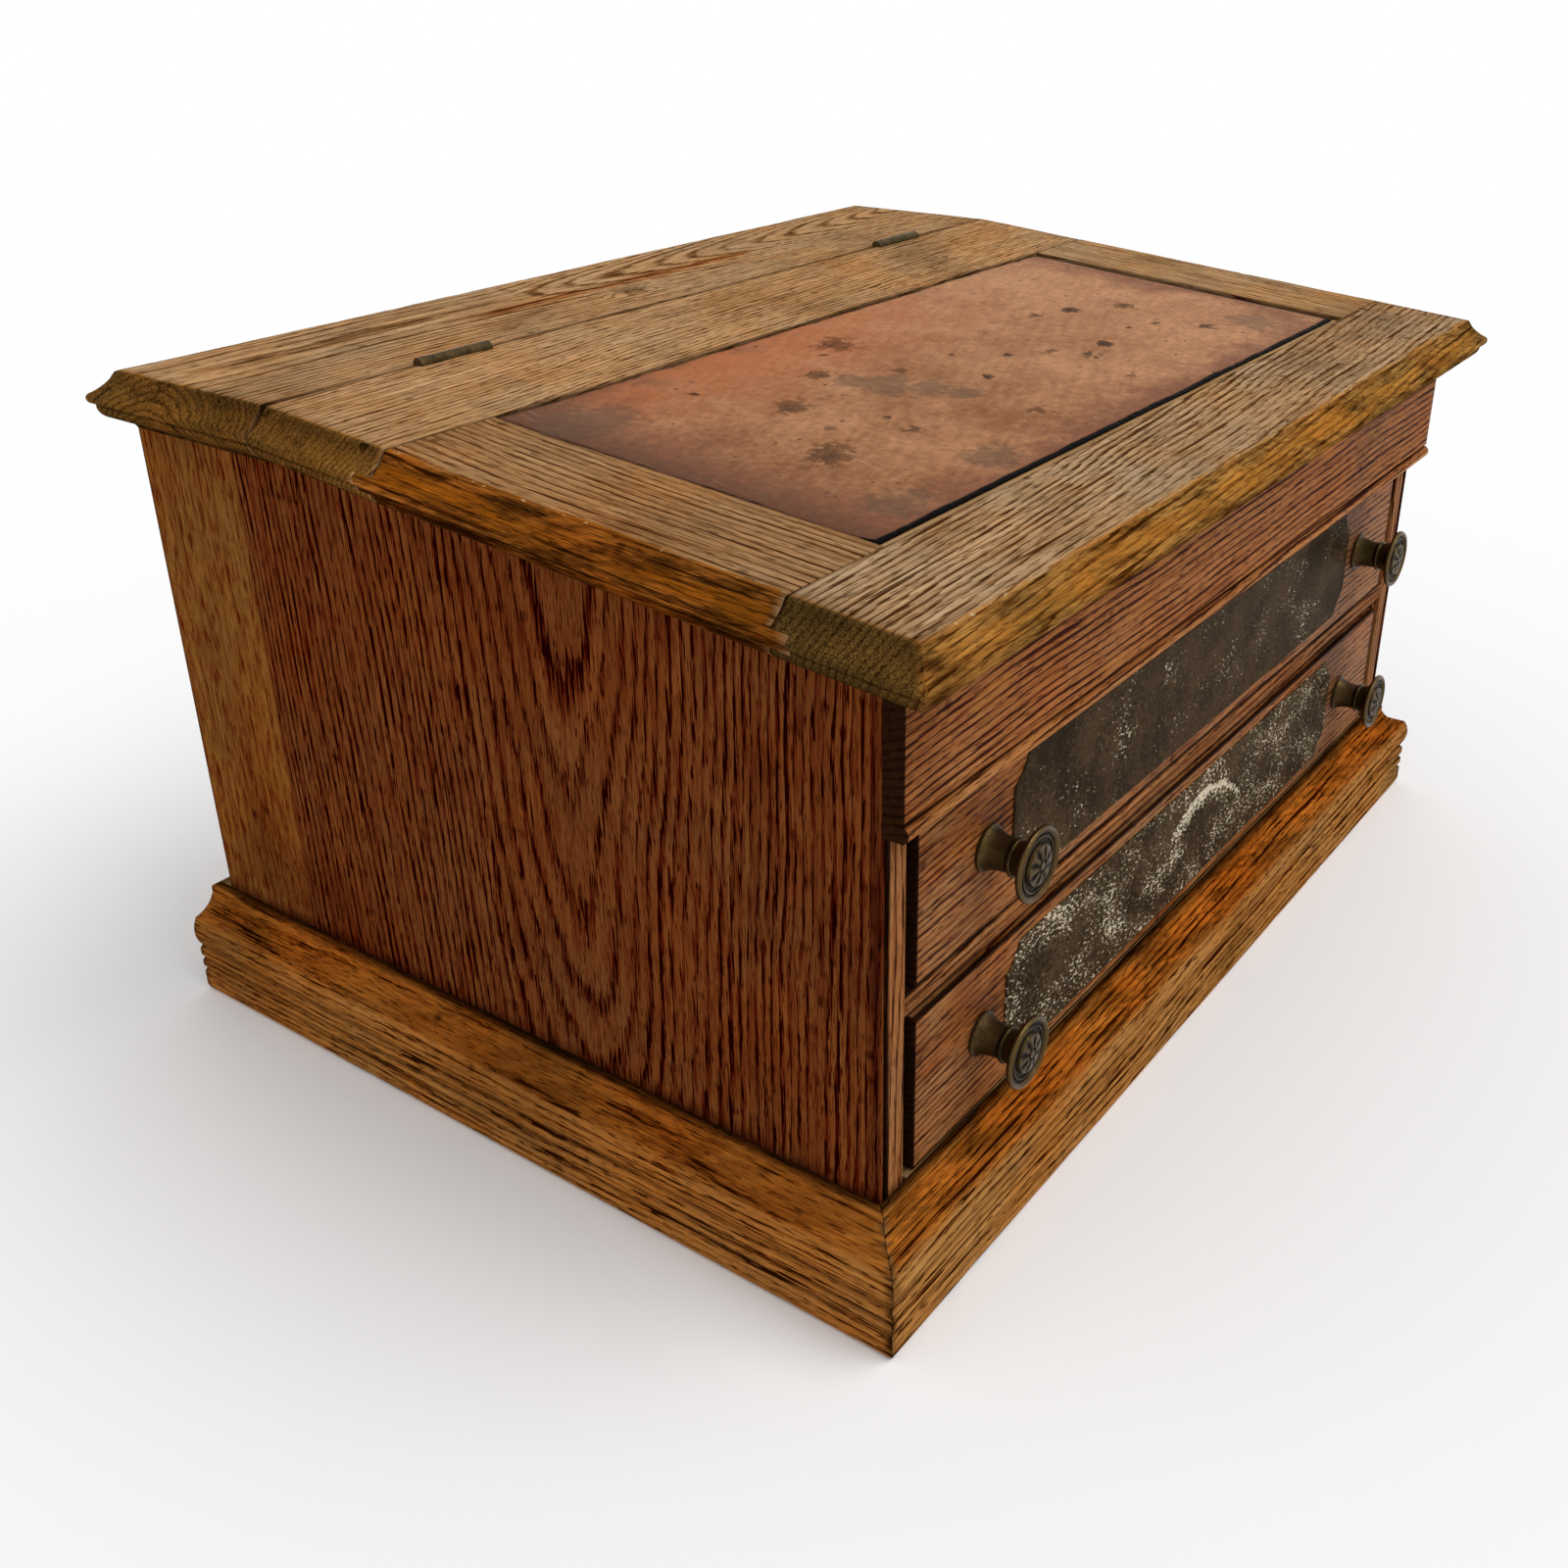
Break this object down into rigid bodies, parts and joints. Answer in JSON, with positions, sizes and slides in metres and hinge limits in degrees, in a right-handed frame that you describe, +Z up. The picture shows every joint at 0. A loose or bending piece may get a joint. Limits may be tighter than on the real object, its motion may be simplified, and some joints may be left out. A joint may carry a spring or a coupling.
{
  "type": "spool cabinet",
  "caption": "Oak tabletop spool cabinet with a sloping lift-lid writing top inset with leather, shallow drawers with dark plates and brass knobs, and a moulded base.",
  "frame": {"origin": "on the floor, under the middle of the whole cabinet's box", "axes": "+X along the width, to the right seen from the front; drawers open towards -Y; +Z up"},
  "size_m": [0.6278, 0.4754, 0.3516],
  "materials": {
    "oak_carcass": "aged varnish, orange-brown",
    "oak_top": "worn varnish, tan",
    "oak_front": "aged varnish, reddish brown",
    "inner_wood": "unfinished, dusty",
    "leather": "worn, mottled",
    "hinge_brass": "tarnished",
    "knob_brass": "aged, dark in the hollows",
    "dark_plate": "black japan, crazed and chipped",
    "screw_steel": "dull"
  },
  "bodies": {
    "cabinet": {"left_side_panel": "oak_carcass", "right_side_panel": "oak_carcass", "front_frieze": "oak_carcass", "base_front_moulding": "oak_carcass", "base_left_moulding": "oak_carcass", "base_right_moulding": "oak_carcass", "fixed_top_board": "oak_top", "left_front_stile": "oak_front", "right_front_stile": "oak_front", "drawer_divider_rail": "oak_front", "back_panel": "inner_wood", "bottom_board": "inner_wood", "well_floor": "inner_wood", "well_front_rail": "inner_wood", "left_drawer_runner": "inner_wood", "right_drawer_runner": "inner_wood", "drawer_rear_rail": "inner_wood", "drawer_guides": "inner_wood", "drawer_stops": "inner_wood", "base_back_rail": "inner_wood", "base_glue_blocks": "inner_wood", "left_hinge_fixed_leaf": "hinge_brass", "right_hinge_fixed_leaf": "hinge_brass", "left_hinge_pin": "hinge_brass", "right_hinge_pin": "hinge_brass", "hinge_fixed_screws": "screw_steel"},
    "lid": {"lid_back_rail": "oak_top", "lid_front_rail": "oak_top", "lid_left_stile": "oak_top", "lid_right_stile": "oak_top", "lid_panel": "inner_wood", "lid_leather": "leather", "left_hinge_lid_leaf": "hinge_brass", "right_hinge_lid_leaf": "hinge_brass", "hinge_lid_screws": "screw_steel"},
    "upper_drawer": {"upper_drawer_front": "oak_front", "upper_drawer_left_side": "inner_wood", "upper_drawer_right_side": "inner_wood", "upper_drawer_back": "inner_wood", "upper_drawer_bottom": "inner_wood", "upper_drawer_slats": "inner_wood", "upper_drawer_plate": "dark_plate", "upper_left_knob": "knob_brass", "upper_right_knob": "knob_brass", "upper_knob_screws": "screw_steel"},
    "lower_drawer": {"lower_drawer_front": "oak_front", "lower_drawer_left_side": "inner_wood", "lower_drawer_right_side": "inner_wood", "lower_drawer_back": "inner_wood", "lower_drawer_bottom": "inner_wood", "lower_drawer_slats": "inner_wood", "lower_drawer_plate": "dark_plate", "lower_left_knob": "knob_brass", "lower_right_knob": "knob_brass", "lower_knob_screws": "screw_steel"}
  },
  "joints": [
    {"name": "lid_hinge", "type": "hinge", "parent": "cabinet", "child": "lid", "pos_m": [0, 0.11465, 0.34844], "axis": [-1, 0, 0], "range_deg": [0, 180]},
    {"name": "upper_drawer_slide", "type": "slide", "parent": "cabinet", "child": "upper_drawer", "axis": [0, -1, 0], "range_m": [0, 0.3]},
    {"name": "lower_drawer_slide", "type": "slide", "parent": "cabinet", "child": "lower_drawer", "axis": [0, -1, 0], "range_m": [0, 0.3]}
  ]
}
